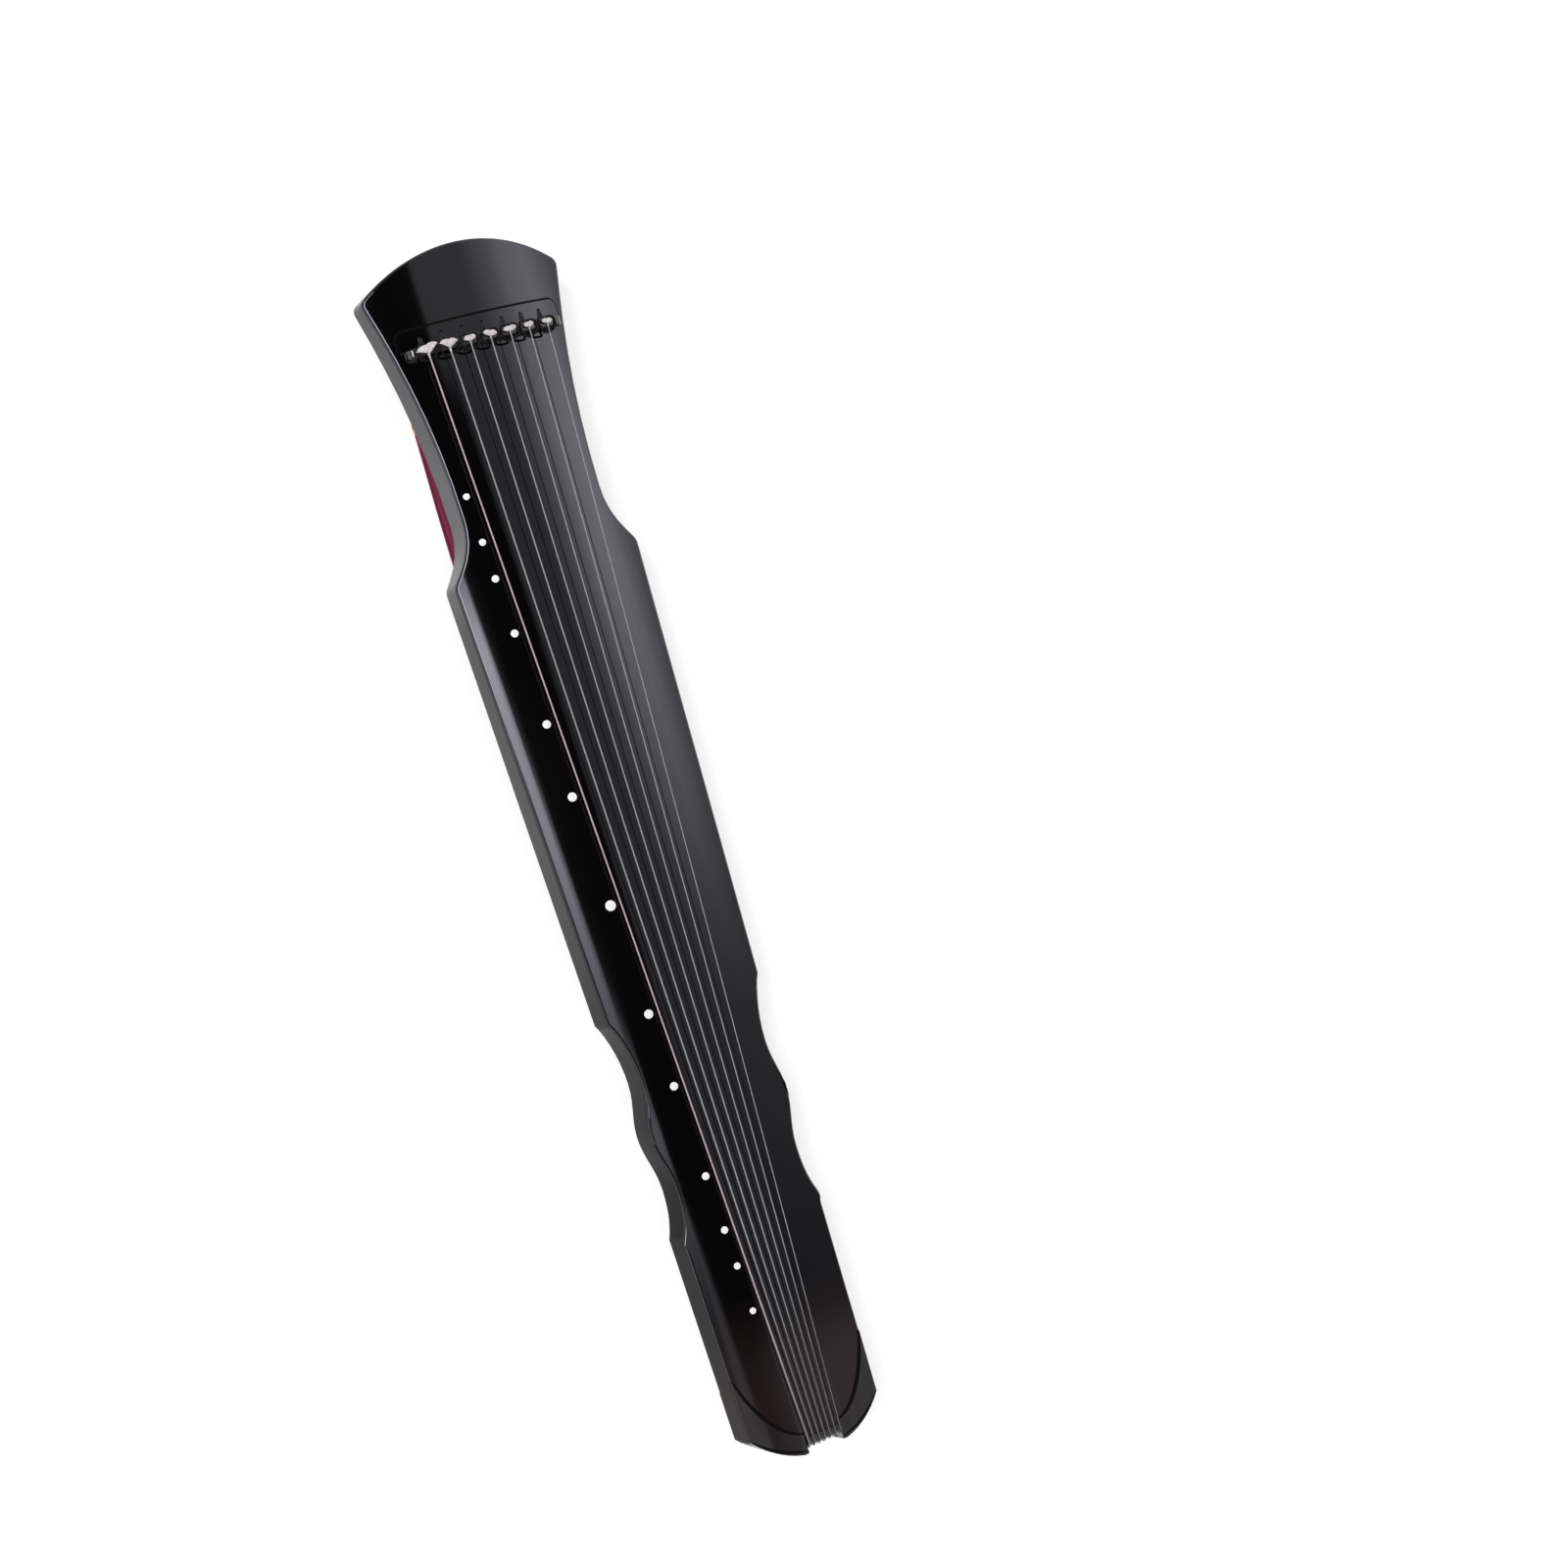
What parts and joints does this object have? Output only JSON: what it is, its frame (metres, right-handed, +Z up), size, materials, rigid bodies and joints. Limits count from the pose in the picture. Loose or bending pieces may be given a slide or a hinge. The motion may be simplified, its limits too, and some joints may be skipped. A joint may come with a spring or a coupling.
{
  "type": "guqin",
  "caption": "Long hollow wooden zither with seven strings over an arched black lacquered face, turning pegs with long tassels under the head and two feet that hold the strings.",
  "frame": {"origin": "on the surface that the instrument lies on, under the middle of its overall box", "axes": "+X to the head, +Y to the side with the markers and the thickest string, +Z up out of the face"},
  "size_m": [1.2346, 0.2098, 0.0942],
  "materials": {
    "black_lacquer": "glossy black lacquer over wood",
    "dark_wood": "polished dark rosewood",
    "bare_wood": "bare sawn wood",
    "turned_wood": "turned, oiled orange brown wood",
    "mother_of_pearl": "polished mother of pearl",
    "string_metal": "nylon wound steel string",
    "black_silk": "twisted silk cord",
    "crimson_silk": "crimson silk floss with gold thread bands"
  },
  "bodies": {
    "root": {"top_board": "black_lacquer", "bottom_board": "black_lacquer", "sound_post_round": "bare_wood", "sound_post_square": "bare_wood", "peg_plate": "dark_wood", "bridge": "dark_wood", "peg_hole_strip": "dark_wood", "dragon_gum": "dark_wood", "lower_gum": "dark_wood", "tail_support": "black_lacquer", "peg_guard_left": "black_lacquer", "peg_guard_right": "black_lacquer", "tail_crown_left": "dark_wood", "tail_crown_right": "dark_wood", "goose_foot_left": "turned_wood", "goose_foot_right": "turned_wood", "hui_01": "mother_of_pearl", "hui_02": "mother_of_pearl", "hui_03": "mother_of_pearl", "hui_04": "mother_of_pearl", "hui_05": "mother_of_pearl", "hui_06": "mother_of_pearl", "hui_07": "mother_of_pearl", "hui_08": "mother_of_pearl", "hui_09": "mother_of_pearl", "hui_10": "mother_of_pearl", "hui_11": "mother_of_pearl", "hui_12": "mother_of_pearl", "hui_13": "mother_of_pearl", "string_1": "string_metal", "string_2": "string_metal", "string_3": "string_metal", "string_4": "string_metal", "string_5": "string_metal", "string_6": "string_metal", "string_7": "string_metal", "silk_loop_1": "black_silk", "silk_loop_2": "black_silk", "silk_loop_3": "black_silk", "silk_loop_4": "black_silk", "silk_loop_5": "black_silk", "silk_loop_6": "black_silk", "silk_loop_7": "black_silk"},
    "peg_1": {"peg_1": "turned_wood"},
    "peg_2": {"peg_2": "turned_wood"},
    "peg_3": {"peg_3": "turned_wood"},
    "peg_4": {"peg_4": "turned_wood"},
    "peg_5": {"peg_5": "turned_wood"},
    "peg_6": {"peg_6": "turned_wood"},
    "peg_7": {"peg_7": "turned_wood"},
    "tassel_1": {"tassel_1": "crimson_silk"},
    "tassel_2": {"tassel_2": "crimson_silk"},
    "tassel_3": {"tassel_3": "crimson_silk"},
    "tassel_4": {"tassel_4": "crimson_silk"},
    "tassel_5": {"tassel_5": "crimson_silk"},
    "tassel_6": {"tassel_6": "crimson_silk"},
    "tassel_7": {"tassel_7": "crimson_silk"}
  },
  "joints": [
    {"name": "peg_1_turn", "type": "hinge", "parent": "root", "child": "peg_1", "pos_m": [0.53309, 0.0639, 0.02], "axis": [0, 0, 1], "continuous": true},
    {"name": "peg_2_turn", "type": "hinge", "parent": "root", "child": "peg_2", "pos_m": [0.53309, 0.0426, 0.02], "axis": [0, 0, 1], "continuous": true},
    {"name": "peg_3_turn", "type": "hinge", "parent": "root", "child": "peg_3", "pos_m": [0.53309, 0.0213, 0.02], "axis": [0, 0, 1], "continuous": true},
    {"name": "peg_4_turn", "type": "hinge", "parent": "root", "child": "peg_4", "pos_m": [0.53309, 0, 0.02], "axis": [0, 0, 1], "continuous": true},
    {"name": "peg_5_turn", "type": "hinge", "parent": "root", "child": "peg_5", "pos_m": [0.53309, -0.0213, 0.02], "axis": [0, 0, 1], "continuous": true},
    {"name": "peg_6_turn", "type": "hinge", "parent": "root", "child": "peg_6", "pos_m": [0.53309, -0.0426, 0.02], "axis": [0, 0, 1], "continuous": true},
    {"name": "peg_7_turn", "type": "hinge", "parent": "root", "child": "peg_7", "pos_m": [0.53309, -0.0639, 0.02], "axis": [0, 0, 1], "continuous": true},
    {"name": "tassel_1_swing", "type": "hinge", "parent": "root", "child": "tassel_1", "pos_m": [0.53309, 0.0639, 0.0027], "axis": [0, -1, 0], "range_deg": [0, 90]},
    {"name": "tassel_2_swing", "type": "hinge", "parent": "root", "child": "tassel_2", "pos_m": [0.53309, 0.0426, 0.0027], "axis": [0, -1, 0], "range_deg": [0, 90]},
    {"name": "tassel_3_swing", "type": "hinge", "parent": "root", "child": "tassel_3", "pos_m": [0.53309, 0.0213, 0.0027], "axis": [0, -1, 0], "range_deg": [0, 90]},
    {"name": "tassel_4_swing", "type": "hinge", "parent": "root", "child": "tassel_4", "pos_m": [0.53309, 0, 0.0027], "axis": [0, -1, 0], "range_deg": [0, 90]},
    {"name": "tassel_5_swing", "type": "hinge", "parent": "root", "child": "tassel_5", "pos_m": [0.53309, -0.0213, 0.0027], "axis": [0, -1, 0], "range_deg": [0, 90]},
    {"name": "tassel_6_swing", "type": "hinge", "parent": "root", "child": "tassel_6", "pos_m": [0.53309, -0.0426, 0.0027], "axis": [0, -1, 0], "range_deg": [0, 90]},
    {"name": "tassel_7_swing", "type": "hinge", "parent": "root", "child": "tassel_7", "pos_m": [0.53309, -0.0639, 0.0027], "axis": [0, -1, 0], "range_deg": [0, 90]}
  ]
}
